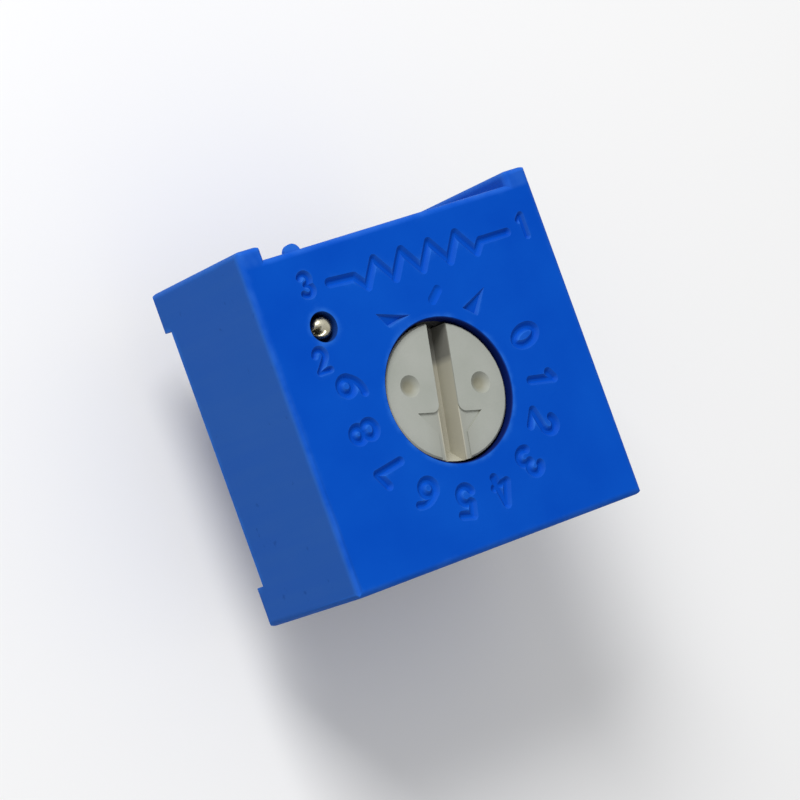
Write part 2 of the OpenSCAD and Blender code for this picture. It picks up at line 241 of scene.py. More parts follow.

# %% [markdown]
# ## Edge wear and crevice dirt, with painted highlight and painted shade
# Handling polishes and whitens the edges of a part, and dust settles in its corners. Ambient occlusion
# finds both without any painted map: looked at from inside the solid it marks the convex edges, and from
# outside it marks the hollows. The same masks paint light as well: a painted highlight on the edges of the
# blue body, and painted shade in hollows. A noise texture breaks both up, because wear is never even.

# %% Node groups: edge wear with painted highlight, crevice dirt with painted shade
def make_corner_effect(name, inside):
    tree, source, sink = group(
        name, [("Place", VECTOR, None), ("Reach", FLOAT, 0.2), ("Patches", FLOAT, 3.0)], ["Mask"])
    reach = reckon(tree, "MULTIPLY", source["Reach"], MM)
    shade = add(tree, "ShaderNodeAmbientOcclusion", {"Distance": reach}, inside=inside, samples=8)
    near = reckon(tree, "SUBTRACT", 1.0, shade.outputs["AO"])
    patches = remap(tree, noise(tree, source["Place"], source["Patches"]), low=0.3, high=0.65, to_low=0.25)
    tree.links.new(reckon(tree, "MULTIPLY", near, patches), sink["Mask"])
    return tree


wear_and_highlight_effect = make_corner_effect("edge_wear_and_highlight", True)
dirt_and_shade_effect = make_corner_effect("crevice_dirt_and_shade", False)
print("groups:", wear_and_highlight_effect.name, "and", dirt_and_shade_effect.name)

# %% [markdown]
# ## Drag lines
# A moulding is scuffed as it slides out of its tool, and a wire is scored as it is drawn through a die.
# Both leave fine lines along one direction. A noise texture that is drawn out along that direction gives
# them: here the direction is Z for the body and for the wires alike.

# %% Node group: drag lines along Z
DRAWN_OUT = (1.0, 1.0, 0.06)


def make_drag():
    tree, source, sink = group(
        "drag_lines", [("Place", VECTOR, None), ("Fineness", FLOAT, 8.0)], ["Mask"])
    drawn = add(tree, "ShaderNodeVectorMath", {0: source["Place"], 1: DRAWN_OUT}, operation="MULTIPLY")
    lines = noise(tree, drawn.outputs[0], source["Fineness"])
    tree.links.new(remap(tree, lines, low=0.35, high=0.65), sink["Mask"])
    return tree


drag_effect = make_drag()
print("group:", drag_effect.name)

# %% [markdown]
# ## Starting a material
# Every finish below is one Principled BSDF, which stays in the material itself. What is the same all over
# a surface is set on its socket, and what changes is linked. `roughen` joins a height to the normal.

# %% Start a material
def start_finish(name, **sockets):
    material = bpy.data.materials.new(name)
    material.use_nodes = True
    tree = material.node_tree
    shader = tree.nodes["Principled BSDF"]
    for socket, value in sockets.items():
        shader.inputs[socket.replace("_", " ")].default_value = value
    return material, tree, shader


def roughen(tree, shader, height, depth_mm, strength=1.0):
    bump = add(tree, "ShaderNodeBump", {"Height": height, "Distance": depth_mm * MM, "Strength": strength})
    tree.links.new(bump.outputs["Normal"], shader.inputs["Normal"])


print("material helpers ready")

# %% [markdown]
# ## Blue moulding
# The body is a filled thermosetting plastic: strong blue, satin, and almost without shine on the face. Its
# outer walls slid along the tool and rub on other parts in the bin, which leaves faint lines along Z; they
# are painted greyer, partly for those scuffs and partly as a painted sheen of the pale surround. The normal
# in the piece's own space tells walls from face. The wall between the two long feet is sheltered and stays
# blue. The bores in the face are painted deep blue as painted shade, since little light gets into them, and
# the edges get wear with a painted highlight.

# %% Masks on the blue body
LEVEL_NORMAL = 0.75
UPRIGHT_NORMAL = 0.35
SHELTER_FADE = 0.1
SHELTER = 0.6
RIM_WIDE = 0.18
RIM_DEEP = 0.26
RIM_FULL = 0.07
BORE_FADE = 0.03


def wall_mask(tree, place):
    """1 on the outer walls, for scuffs and a painted grey sheen, 0 on the face and the sheltered wall."""
    facing = add(tree, "ShaderNodeSeparateXYZ", {0: add(tree, "ShaderNodeTexCoord").outputs["Normal"]})
    upright = remap(tree, reckon(tree, "ABSOLUTE", facing.outputs["Z"]), LEVEL_NORMAL, UPRIGHT_NORMAL)
    spot = add(tree, "ShaderNodeSeparateXYZ", {0: place}).outputs
    aside = reckon(tree, "ABSOLUTE", spot["X"])
    between = remap(tree, aside, sheltered_x, sheltered_x + SHELTER_FADE, to_low=1.0, to_high=0.0)
    inward = remap(tree, spot["Y"], sheltered_y - SHELTER_FADE, sheltered_y, to_high=SHELTER)
    sheltered = reckon(tree, "MULTIPLY", between, inward)
    return reckon(tree, "SUBTRACT", upright, reckon(tree, "MULTIPLY", upright, sheltered))


def rim_mask(tree, place):
    """1 on the rounded edge between the face and the walls, for chips and a painted highlight."""
    low, high = box_mm("housing")
    spot = add(tree, "ShaderNodeSeparateXYZ", {0: place}).outputs
    out_y = reckon(tree, "ABSOLUTE", reckon(tree, "SUBTRACT", spot["Y"], (sheltered_y + low.y) / 2))
    beyond_x = reckon(tree, "SUBTRACT", reckon(tree, "ABSOLUTE", spot["X"]), high.x)
    beyond_y = reckon(tree, "SUBTRACT", out_y, (sheltered_y - low.y) / 2)
    outer = remap(tree, reckon(tree, "MAXIMUM", beyond_x, beyond_y), -RIM_WIDE, -RIM_FULL)
    return reckon(tree, "MULTIPLY", outer, remap(tree, spot["Z"], face_z - RIM_DEEP, face_z - RIM_FULL))


def bore_mask(tree, place, middle, radius):
    """1 inside a round hole along Z."""
    flat = add(tree, "ShaderNodeVectorMath", {0: place, 1: (1, 1, 0)}, operation="MULTIPLY").outputs[0]
    away = add(tree, "ShaderNodeVectorMath", {0: flat, 1: (middle.x, middle.y, 0)}, operation="DISTANCE")
    return remap(tree, away.outputs["Value"], radius - BORE_FADE, radius, to_low=1.0, to_high=0.0)


print(f"the wall is sheltered within {sheltered_x:.2f} mm of the middle, at y = {sheltered_y:.2f} mm")

# %% Colours of the blue body
DEEP_BLUE = linear(2, 73, 186)
LIVELY_BLUE = linear(6, 81, 193)
# Grey of the outer walls: scuffs, and a painted sheen of the pale surround.
SCUFFED_SHEEN_BLUE = linear(44, 97, 183)
NICKED_BLUE = linear(18, 62, 142)
# Edge wear, with a painted highlight on the convex edges.
WORN_HIGHLIGHT_BLUE = linear(52, 122, 220)
# Chips along the rim, with a painted highlight there.
CHIPPED_HIGHLIGHT_BLUE = linear(44, 103, 203)
# Painted shade in the bores of the face, where little light gets in.
BORE_SHADE_BLUE = linear(14, 30, 92)
WIRE_BORE_LIP = 0.02


def scuffed_with_sheen_and_highlights(tree, place, colour):
    """Scuffs, nicks and painted sheen on the walls; wear, chips and painted highlight at edges and rim."""
    wear_and_highlight = place_effect(tree, wear_and_highlight_effect, place=place, reach=0.26, patches=2.2)
    drag = place_effect(tree, drag_effect, place=place, fineness=2.6)
    lines = remap(tree, drag["Mask"], 0.0, 1.0, to_low=0.88)
    scuffs_and_sheen = reckon(tree, "MULTIPLY", wall_mask(tree, place), lines)
    spots = remap(tree, noise(tree, place, scale=2.4, detail=4.0), low=0.69, high=0.76, to_high=0.5)
    chips_and_highlight = remap(tree, noise(tree, place, scale=1.6), low=0.4, high=0.62, to_low=0.15, to_high=0.55)
    # Scuffs and a painted grey sheen on the outer walls.
    colour = blend(tree, scuffs_and_sheen, colour, SCUFFED_SHEEN_BLUE)
    colour = blend(tree, reckon(tree, "MULTIPLY", scuffs_and_sheen, spots), colour, NICKED_BLUE)
    # Wear and a painted highlight turn the convex edges a lighter blue.
    colour = blend(tree, remap(tree, wear_and_highlight["Mask"], low=0.1, high=0.4, to_high=0.6), colour, WORN_HIGHLIGHT_BLUE)
    # Chips and a painted highlight along the rounded rim of the face.
    return blend(tree, reckon(tree, "MULTIPLY", rim_mask(tree, place), chips_and_highlight), colour, CHIPPED_HIGHLIGHT_BLUE)


print("blue layers: clouds, scuffs, nicks, wear, chips, bores")

# %% Blue moulding
def blue_moulding():
    material, tree, shader = start_finish("blue_moulding", Specular_IOR_Level=0.03)
    place = millimetres(tree)
    grain = place_effect(tree, grain_effect, place=place, clouds=0.4, grain=16.0)
    # Painted shade: the rotor's hole and the wire's hole are painted deep blue.
    bores = reckon(tree, "MAXIMUM", bore_mask(tree, place, Vector((0, 0)), rotor_hole_r),
                   bore_mask(tree, place, wire_at, wire_hole_r + WIRE_BORE_LIP))
    colour = blend(tree, grain["Tone"], DEEP_BLUE, LIVELY_BLUE)
    colour = scuffed_with_sheen_and_highlights(tree, place, colour)
    colour = blend(tree, bores, colour, BORE_SHADE_BLUE)
    rough = remap(tree, grain["Tone"], 0.0, 1.0, to_low=0.48, to_high=0.62)
    tree.links.new(colour, shader.inputs["Base Color"])
    tree.links.new(rough, shader.inputs["Roughness"])
    roughen(tree, shader, grain["Height"], depth_mm=0.004, strength=0.5)
    return material


blue = blue_moulding()
print("finish:", blue.name)

# %% [markdown]
# ## Pale rotor moulding
# The rotor is an unpigmented pale plastic that looks grey rather than white. The slot is painted a warm
# cream, lighter than the rest: a warm tint, and painted light that lifts the shade in it. The two dimples
# are painted a darker brownish grey as painted shade, and one end of the slot is painted dark as a
# painted shadow of the hole's rim. The arrow beside the other end is painted a shade greyer than the
# rest, as painted shade of its recess, and dust with painted shade darkens the hollows. Painting all
# this on an image would need an unwrapped mesh. Masks worked out from places on the piece don't: they
# follow the rotor's own axes, with the slot along Y, and ride with it.

# %% Masks on the rotor
SLOT_TURN = math.radians(13)
SLOT_HALF = 0.31
SLOT_LIP = 0.02
SLOT_FADE = 0.05
SUNK_FROM = 0.01
SUNK_FULL = 0.06
# Where the painted shadow at the slot's end starts and where it is full, along the slot.
SLOT_SHADOW_FROM = 0.78
SLOT_SHADOW_FULL = 1.0
DIMPLE_X = 1.11
DIMPLE_Y = 0.18
DIMPLE_DARK = 0.12
DIMPLE_EDGE = 0.32
ARROW_HALF = 0.85
ARROW_FROM = -0.4
ARROW_FULL = -0.65


def rotor_masks(tree, place):
    """Masks for the slot, for the painted shadow at its end, and for painted shade in dimples and arrow."""
    turn = {"Vector": place, "Angle": SLOT_TURN}
    turned = add(tree, "ShaderNodeVectorRotate", turn, rotation_type="Z_AXIS")
    axes = add(tree, "ShaderNodeSeparateXYZ", {0: turned.outputs[0]}).outputs
    aside = reckon(tree, "ABSOLUTE", axes["X"])
    sunk = remap(tree, axes["Z"], rotor_top_z - SUNK_FROM, rotor_top_z - SUNK_FULL)
    between = remap(tree, aside, SLOT_HALF + SLOT_LIP, SLOT_HALF + SLOT_FADE, to_low=1.0, to_high=0.0)
    slot = reckon(tree, "MULTIPLY", sunk, between)
    # Painted shadow of the hole's rim over the end of the slot.
    slot_shadow = reckon(tree, "MULTIPLY", slot, remap(tree, axes["Y"], SLOT_SHADOW_FROM, SLOT_SHADOW_FULL))
    folded = add(tree, "ShaderNodeCombineXYZ", {"X": aside, "Y": axes["Y"]}).outputs[0]
    away = add(tree, "ShaderNodeVectorMath", {0: folded, 1: (DIMPLE_X, DIMPLE_Y, 0)}, operation="DISTANCE")
    # Where the dimples are, for their painted shade.
    dimples = remap(tree, away.outputs["Value"], DIMPLE_DARK, DIMPLE_EDGE, to_low=1.0, to_high=0.0)
    # Beside the slot's other end, for the arrow recess's painted shade.
    beside = remap(tree, aside, SLOT_HALF, ARROW_HALF, to_low=1.0, to_high=0.0)
    arrow = reckon(tree, "MULTIPLY", beside, remap(tree, axes["Y"], ARROW_FROM, ARROW_FULL))
    return slot, slot_shadow, dimples, arrow


print(f"slot turned by {math.degrees(SLOT_TURN):.0f} degrees, dimples {2 * DIMPLE_X:.2f} mm apart")

# %% Pale rotor moulding
DULL_GREY = linear(159, 163, 155)
PALE_GREY = linear(168, 171, 164)
# Dust, with painted shade in the hollows.
DUSTY_SHADE_GREY = linear(150, 146, 128)
# Painted shade of the arrow recess.
ARROW_SHADE_GREY = linear(146, 147, 138)
# Painted shade in the dimples.
DIMPLE_SHADE_BROWN = linear(136, 133, 114)
# A warm tint, with painted light that lifts the shade in the slot.
SLOT_LIGHT_CREAM = linear(188, 184, 166)
# Painted shadow at the end of the slot.
SLOT_SHADOW_GREY = linear(120, 120, 114)


def pale_moulding():
    material, tree, shader = start_finish("cream_moulding", Specular_IOR_Level=0.25)
    place = millimetres(tree)
    grain = place_effect(tree, grain_effect, place=place, clouds=0.9, grain=24.0)
    dirt_and_shade = place_effect(tree, dirt_and_shade_effect, place=place, reach=0.3, patches=1.8)
    slot, slot_shadow, dimples, arrow = rotor_masks(tree, place)
    # Dust and painted shade in the rotor's hollows, where the occlusion mask is high.
    dust_and_shade = remap(tree, dirt_and_shade["Mask"], low=0.2, high=0.7, to_high=0.5)
    rough = remap(tree, grain["Tone"], 0.0, 1.0, to_low=0.5, to_high=0.64)
    colour = blend(tree, grain["Tone"], DULL_GREY, PALE_GREY)
    colour = blend(tree, dust_and_shade, colour, DUSTY_SHADE_GREY)
    # Painted shade on arrow and dimples, painted light in the slot, painted shadow at the slot's end.
    layers = ((arrow, 0.65, ARROW_SHADE_GREY), (dimples, 0.85, DIMPLE_SHADE_BROWN), (slot, 0.8, SLOT_LIGHT_CREAM),
              (slot_shadow, 0.9, SLOT_SHADOW_GREY))
    for mask, strength, tint in layers:
        colour = blend(tree, reckon(tree, "MULTIPLY", mask, strength), colour, tint)
    tree.links.new(colour, shader.inputs["Base Color"])
    tree.links.new(rough, shader.inputs["Roughness"])
    roughen(tree, shader, grain["Height"], depth_mm=0.004, strength=0.6)
    return material


pale = pale_moulding()
print("finish:", pale.name)

# %% [markdown]
# ## Metals
# Three metals are in here: tinned copper wire, bright solder and the brass-like spring of the contact. They
# share one function, since all are a tinted metal with drag lines, a dull film in patches, and dirt with
# painted shade in the hollows, which on the cropped wire end paints the dark reflection in its cleft. Only
# their tints, their roughness and the fineness of the lines differ.

# %% Tinned wire, solder and contact spring
# Dark dirt, and painted shade in the hollows.
SOOT_AND_SHADE = linear(40, 38, 36)
METAL_ROUGHER = 0.16


def metal_finish(name, bright, dull, rough, fineness):
    material, tree, shader = start_finish(name, Metallic=1.0)
    place = millimetres(tree)
    drag = place_effect(tree, drag_effect, place=place, fineness=fineness)
    grain = place_effect(tree, grain_effect, place=place, clouds=2.4, grain=26.0)
    dirt_and_shade = place_effect(tree, dirt_and_shade_effect, place=place, reach=0.16, patches=5.0)
    colour = blend(tree, grain["Tone"], bright, dull)
    # Dirt and painted shade in hollows; on the cropped wire end it paints the dark reflection in its cleft.
    colour = blend(tree, remap(tree, dirt_and_shade["Mask"], low=0.12, high=0.5, to_high=0.9), colour, SOOT_AND_SHADE)
    scored = remap(tree, drag["Mask"], 0.0, 1.0, rough, rough + METAL_ROUGHER)
    tree.links.new(colour, shader.inputs["Base Color"])
    tree.links.new(scored, shader.inputs["Roughness"])
    height = reckon(tree, "ADD", drag["Mask"], grain["Height"])
    roughen(tree, shader, height, depth_mm=0.004, strength=0.6)
    return material


tinned = metal_finish(
    "tinned_wire", linear(190, 186, 168), linear(146, 141, 120), rough=0.26, fineness=14.0)
solder = metal_finish(
    "solder", linear(208, 210, 212), linear(182, 184, 186), rough=0.18, fineness=3.0)
spring = metal_finish(
    "contact_metal", linear(226, 196, 128), linear(204, 170, 104), rough=0.2, fineness=9.0)
print("finishes:", tinned.name, solder.name, spring.name)

# %% [markdown]
# ## Ceramic, films, rubber and resin
# The pieces inside are sealed, but each has the finish of the real thing: fired alumina, a sooty resistive
# film, silver film, black rubber, and a clear blue-tinted resin with a gloss. One function makes them all
# from the moulding grain, because all are cast, pressed or printed and so have clouds and a grain.

# %% Finishes of the inner pieces and the resin
CAST_ROUGHER = 0.12


def cast_finish(name, light, dark, rough, clouds, grain_scale, depth_mm, **sockets):
    material, tree, shader = start_finish(name, **sockets)
    place = millimetres(tree)
    grain = place_effect(tree, grain_effect, place=place, clouds=clouds, grain=grain_scale)
    dirt_and_shade = place_effect(tree, dirt_and_shade_effect, place=place, reach=0.2, patches=2.0)
    colour = blend(tree, grain["Tone"], dark, light)
    # Dirt and painted shade in the hollows.
    colour = blend(tree, remap(tree, dirt_and_shade["Mask"], low=0.4, high=0.9, to_high=0.4), colour, SOOT_AND_SHADE)
    uneven = remap(tree, grain["Tone"], 0.0, 1.0, rough, rough + CAST_ROUGHER)
    tree.links.new(colour, shader.inputs["Base Color"])
    tree.links.new(uneven, shader.inputs["Roughness"])
    roughen(tree, shader, grain["Height"], depth_mm)
    return material


alumina = cast_finish(
    "alumina", linear(242, 240, 231), linear(228, 225, 214),
    rough=0.55, clouds=1.2, grain_scale=30.0, depth_mm=0.006)
cermet = cast_finish(
    "resistive_film", linear(58, 56, 55), linear(30, 29, 29),
    rough=0.4, clouds=3.0, grain_scale=40.0, depth_mm=0.008)
silver = cast_finish(
    "conductor_film", linear(206, 204, 197), linear(184, 181, 172),
    rough=0.35, clouds=3.0, grain_scale=36.0, depth_mm=0.006, Metallic=1.0)
rubber = cast_finish(
    "seal_rubber", linear(38, 38, 40), linear(22, 22, 24),
    rough=0.6, clouds=1.5, grain_scale=22.0, depth_mm=0.006)
resin = cast_finish(
    "sealing_resin", linear(46, 92, 172), linear(28, 66, 140),
    rough=0.14, clouds=0.5, grain_scale=5.0, depth_mm=0.012, Coat_Weight=0.4)
print("finishes:", alumina.name, cermet.name, silver.name, rubber.name, resin.name)

# %% [markdown]
# ## From solid to piece
# A piece that gets more detail than its solid starts as a copy of that solid's mesh: corners are welded,
# flat triangles are joined into whole faces, and the copy is worked on in millimetres. Afterwards weighted
# normals keep wide faces flat and let narrow ones beside them turn softly, as a moulding's edges do. Last,
# faces of many corners are split into even triangles, so that an exported mesh has no slivers.

# %% Copy a solid
WELD = 0.0005
FLAT_ANGLE = math.radians(0.4)


def make_whole(form):
    """Welds corners that meet, and joins the triangles of a flat face into one."""
    bmesh.ops.remove_doubles(form, verts=form.verts, dist=WELD)
    bmesh.ops.dissolve_limit(form, angle_limit=FLAT_ANGLE, verts=form.verts, edges=form.edges)


def solid_copy(node):
    """The solid's mesh in millimetres."""
    source = nodes[node].data
    form = bmesh.new()
    corners = [form.verts.new(vertex.co / MM) for vertex in source.vertices]
    for face in source.polygons:
        form.faces.new([corners[index] for index in face.vertices])
    make_whole(form)
    return form


def link_form(name, form):
    mesh = bpy.data.meshes.new(name)
    form.to_mesh(mesh)
    form.free()
    made = bpy.data.objects.new(name, mesh)
    bpy.context.scene.collection.objects.link(made)
    return made


print(f"corners within {WELD} mm are welded")

# %% Shade a piece and seat it
WIDE_FACE_WEIGHT = 90
MANY_CORNERS = 5


def settle(piece):
    """Turns what the piece's modifiers make into its own mesh."""
    final = bpy.data.meshes.new_from_object(piece.evaluated_get(bpy.context.evaluated_depsgraph_get()))
    piece.modifiers.clear()
    piece.data = final


def shade(piece, sharp_degrees):
    """Shades a piece softly, apart from edges sharper than an angle, and evens out its triangles."""
    piece.data.shade_smooth()
    piece.data.set_sharp_from_angle(angle=math.radians(sharp_degrees))
    soft = piece.modifiers.new("soft_edges", "WEIGHTED_NORMAL")
    soft.keep_sharp = True
    soft.weight = WIDE_FACE_WEIGHT
    even = piece.modifiers.new("even_triangles", "TRIANGULATE")
    even.min_vertices = MANY_CORNERS
    even.ngon_method = "BEAUTY"
    even.keep_custom_normals = True
    settle(piece)


def seat(piece, material, node, body):
    """Scales a finished piece to metres and puts it in its solid's place."""
    piece.data.transform(Matrix.Scale(MM, 4))
    piece.data.materials.clear()
    piece.data.materials.append(material)
    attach(piece, body)
    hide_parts(node)
    print(f"{piece.name}: {len(piece.data.polygons)} faces in place of {node}")


print("piece helpers ready")

# %% [markdown]
# ## Engraved strokes
# The signs on the face are shallow moulded troughs, about a quarter of a millimetre wide. Each stroke is a
# solid that is cut out of the face. Its outline is the line at one distance all round the stroke, with
# round ends, and four such outlines, one below the other, give the trough its sloping sides and flat bed.
# Strokes that meet in one sign differ a little in width and depth, because a clean cut needs solids whose
# surfaces cross and don't lie on each other.

# %% Outlines and the solids through them
CAP_STEPS = 8


def round_outline(points, reach):
    """The closed line at one distance all round an open line."""
    ways = []
    for index in range(len(points)):
        before = points[max(index - 1, 0)]
        after = points[min(index + 1, len(points) - 1)]
        ways.append((after - before).normalized())
    sides = [Vector((-way.y, way.x)) * reach for way in ways]

    def cap(middle, start):
        turns = [-math.pi * step / CAP_STEPS for step in range(1, CAP_STEPS)]
        return [middle + Matrix.Rotation(turn, 2) @ start for turn in turns]

    left = [point + side for point, side in zip(points, sides)]
    right = [point - side for point, side in zip(points, sides)]
    return left + cap(points[-1], sides[-1]) + right[::-1] + cap(points[0], -sides[0])


def layered_solid(loops):
    """A closed solid through loops of equally many points, from the top one down."""
    form = bmesh.new()
    rings = [[form.verts.new(point) for point in loop] for loop in loops]
    for upper, lower in zip(rings, rings[1:]):
        for index in range(len(upper)):
            form.faces.new((upper[index - 1], upper[index], lower[index], lower[index - 1]))
    ends = [form.faces.new(rings[0]), form.faces.new(rings[-1][::-1])]
    form.normal_update()
    bmesh.ops.triangulate(form, faces=ends)
    bmesh.ops.recalc_face_normals(form, faces=form.faces)
    return form


print(f"round ends take {CAP_STEPS} steps")

# %% A trough along a line
TROUGH = ((0.175, 0.03), (0.12, -0.03), (0.07, -0.085), (0.03, -0.105))
STROKE_STEP = 0.04
STROKE_STEPS = 4


def stroke(points, width=1.0, depth=1.0):
    """A trough along an open line, as wide and as deep as these shares of the full one."""
    loops = []
    for reach, height in TROUGH:
        level = face_z + (height if height > 0 else height * depth)
        loops.append([(point.x, point.y, level) for point in round_outline(points, reach * width)])
    return layered_solid(loops)


def strokes(lines, width=1.0):
    """The troughs of one sign, each a touch smaller than the one before, a few in turn."""
    made = []
    for index, points in enumerate(lines):
        share = 1 - STROKE_STEP * (index % STROKE_STEPS)
        made.append(stroke(points, width * share, share))
    return made


print(f"trough: {2 * TROUGH[0][0]:.2f} mm at its lip, {-TROUGH[-1][1]:.3f} mm deep")

# %% [markdown]
# ## Numerals
# Plain stroke numerals suit a moulding tool, because each is milled with one round cutter. A text object
# would give a font's outlines, which have no middle line for a trough to follow. So the numerals are drawn
# here from straight lines and arcs of ellipses, in a box 0.6 wide and 1 high with its middle at zero.

# %% Numerals as lines and arcs
ARC_STEP = 15


def line(*numbers):
    return [Vector(numbers[:2]), Vector(numbers[2:])]


def arc(x, y, wide, high, start, end):
    steps = max(2, round(abs(end - start) / ARC_STEP))
    turns = [math.radians(start + (end - start) * step / steps) for step in range(steps + 1)]
    return [Vector((x + wide * math.cos(turn), y + high * math.sin(turn))) for turn in turns]


NUMERALS = {
    "0": [arc(0, 0, 0.28, 0.5, 90, 270), arc(0, 0, 0.28, 0.5, -90, 90)],
    "1": [line(-0.16, 0.32, 0.05, 0.5), line(0.05, 0.5, 0.05, -0.5)],
    "2": [arc(0, 0.23, 0.27, 0.27, 170, -40), line(0.207, 0.056, -0.28, -0.5),
          line(-0.28, -0.5, 0.3, -0.5)],
    "3": [arc(0, 0.25, 0.25, 0.25, 150, -90), arc(0, -0.25, 0.28, 0.25, 90, -150)],
    "4": [line(0.12, -0.5, 0.12, 0.5), line(0.12, 0.5, -0.3, -0.18), line(-0.3, -0.18, 0.3, -0.18)],
    "5": [line(0.24, 0.5, -0.2, 0.5), line(-0.2, 0.5, -0.23, 0.06), arc(0, -0.2, 0.28, 0.3, 130, -150)],
    "6": [arc(0, -0.22, 0.28, 0.28, 0, 180), arc(0, -0.22, 0.28, 0.28, 180, 360),
          arc(0.3, -0.22, 0.58, 0.72, 180, 102)],
    "7": [line(-0.28, 0.5, 0.28, 0.5), line(0.28, 0.5, -0.08, -0.5)],
    "8": [arc(0, 0.26, 0.24, 0.24, 90, 270), arc(0, 0.26, 0.24, 0.24, -90, 90),
          arc(0, -0.24, 0.28, 0.26, 90, 270), arc(0, -0.24, 0.28, 0.26, -90, 90)],
    "9": [arc(0, 0.22, 0.28, 0.28, 180, 360), arc(0, 0.22, 0.28, 0.28, 0, 180),
          arc(-0.3, 0.22, 0.58, 0.72, 0, -78)],
}


def numeral(sign, x, y, high, width, turn=0.0):
    """The strokes of one numeral, turned by an angle in degrees about its middle."""
    turned = Matrix.Rotation(math.radians(turn), 2)
    lines = [[Vector((x, y)) + turned @ (point * high) for point in points] for points in NUMERALS[sign]]
    return strokes(lines, width)


print("numerals:", " ".join(NUMERALS))

# %% [markdown]
# ## The signs on the face
# The zigzag is the sign for a resistor, with its two leads, and the numerals 1 to 3 beside it name the
# three wires. A dial of plain numerals runs clockwise round the rotor, with their tops outward. Two
# triangular pits and a short tick lie at the rotor's edge. All of them are gathered in one list of cutters,
# because one cut through the face is cleaner than many, one after the other.

# %% Resistor sign and wire numerals
LEFT_LEAD = (Vector((-2.42, 3.63)), Vector((-1.62, 3.58)))
RIGHT_LEAD = (Vector((2.58, 3.5)), Vector((3.5, 3.5)))
ZIGZAG_TURNS = 9
ZIGZAG_PITCH = 0.915
ZIGZAG_LEFT = -1.32
ZIGZAG_LOW = 3.24
ZIGZAG_HIGH = 3.88
WIRE_NUMERALS = {"3": (-3.12, 3.76), "1": (4.08, 3.54), "2": (-3.45, 1.78)}
WIRE_NUMERAL_HIGH = 0.58
WIRE_NUMERAL_WIDTH = 0.75


def resistor_sign():
    """Each leg of the zigzag is a stroke of its own, so that its round ends make round corners."""
    turns = []
    for step in range(ZIGZAG_TURNS):
        height = ZIGZAG_HIGH if step % 2 else ZIGZAG_LOW
        turns.append(Vector((ZIGZAG_LEFT + step * ZIGZAG_PITCH / 2, height)))
    ends = [*LEFT_LEAD, *turns, *RIGHT_LEAD]
    return strokes(list(zip(ends, ends[1:])))


signs = resistor_sign()
for sign, (x, y) in WIRE_NUMERALS.items():
    signs += numeral(sign, x, y, WIRE_NUMERAL_HIGH, WIRE_NUMERAL_WIDTH)
print(len(signs), "strokes for the resistor sign and the wires' numerals")

# %% Dial round the rotor
DIAL_RADIUS = 2.98
DIAL_START = 14
DIAL_STEP = 23.5
DIAL_HIGH = 0.76
DIAL_WIDTH = 0.95
TICK = line(0.45, 2.38, 0.72, 2.6)
TICK_DEPTH = 0.5

for place, sign in enumerate("0123456789"):
    turn = DIAL_START - place * DIAL_STEP
    way = Vector((math.cos(math.radians(turn)), math.sin(math.radians(turn)))) * DIAL_RADIUS
    signs += numeral(sign, way.x, way.y, DIAL_HIGH, DIAL_WIDTH, turn - 90)
signs.append(stroke(TICK, depth=TICK_DEPTH))
print(len(signs), "strokes with the dial and the tick")

# %% Triangular pits
PIT_LIP = 0.03
PIT_DRAFT = 0.05
LEFT_PIT = ((-1.4, 2.5), (-1.12, 2.06), (-0.42, 2.2))
LEFT_PIT_DEPTHS = (0.05, 0.13, 0.12)
RIGHT_PIT = ((2.16, 2.28), (1.3, 1.94), (1.66, 1.64))
RIGHT_PIT_DEPTHS = (0.06, 0.12, 0.12)


def grown(corners, by):
    """A convex outline, counter-clockwise, with every side moved outward by one distance."""
    moved = []
    for index, corner in enumerate(corners):
        before = (corner - corners[index - 1]).normalized()
        after = (corners[(index + 1) % len(corners)] - corner).normalized()
        outward = Vector((before.y, -before.x)) + Vector((after.y, -after.x))
        moved.append(corner + outward * by / (1 + before.dot(after)))
    return moved


def pit(corners, depths):
    """A pit with sloping sides whose floor has its own depth at each corner."""
    points = [Vector(corner) for corner in corners]
    top = [(*point, face_z + PIT_LIP) for point in grown(points, PIT_LIP)]
    floor = [(*point, face_z - depth) for point, depth in zip(grown(points, -PIT_DRAFT), depths)]
    return layered_solid([top, floor])


signs.append(pit(LEFT_PIT, LEFT_PIT_DEPTHS))
signs.append(pit(RIGHT_PIT, RIGHT_PIT_DEPTHS))
print(len(signs), "cuts in all")

# %% [markdown]
# ## Cutting the face
# A Boolean modifier takes all the cutters at once from a collection. Cutting real geometry costs more faces
# than a bump map, but the troughs then catch light and shade from every side, also in the exported mesh.
# The cut leaves corners that all but meet and faces that lie in one plane, so the mesh is made whole again.

# %% Cut the signs out of a piece
def carve(piece, cutters):
    tray = bpy.data.collections.new("cutters")
    bpy.context.scene.collection.children.link(tray)
    for index, form in enumerate(cutters):
        cutter = link_form(f"cutter_{index}", form)
        bpy.context.scene.collection.objects.unlink(cutter)
        tray.objects.link(cutter)
    cut = piece.modifiers.new("engraving", "BOOLEAN")
    cut.operation = "DIFFERENCE"
    cut.operand_type = "COLLECTION"
    cut.collection = tray
    cut.solver = "EXACT"
    settle(piece)
    for cutter in list(tray.objects):
        bpy.data.objects.remove(cutter)
    bpy.data.collections.remove(tray)
    form = bmesh.new()
    form.from_mesh(piece.data)
    make_whole(form)
    form.to_mesh(piece.data)
    form.free()


print("ready to cut", len(signs), "signs")

# %% [markdown]
# ## Housing
# The body is one moulding, so its solid is copied as one mesh. On the real body the nub beside the wire is
# only a thin tab, and the four feet at the back stand out a little more than the solid's. Both are corners
# that move along Z, which is quicker and keeps the mesh cleaner than cutting and joining new blocks. The
# signs are cut last, so that their small faces don't get in the way.

# %% Nub and back
NUB_REACH = 0.3
NUB_LENGTH = 0.15
NUB_ROOT = 0.02
BACK_LEVEL = 0.3
BACK_RAISED = 0.15


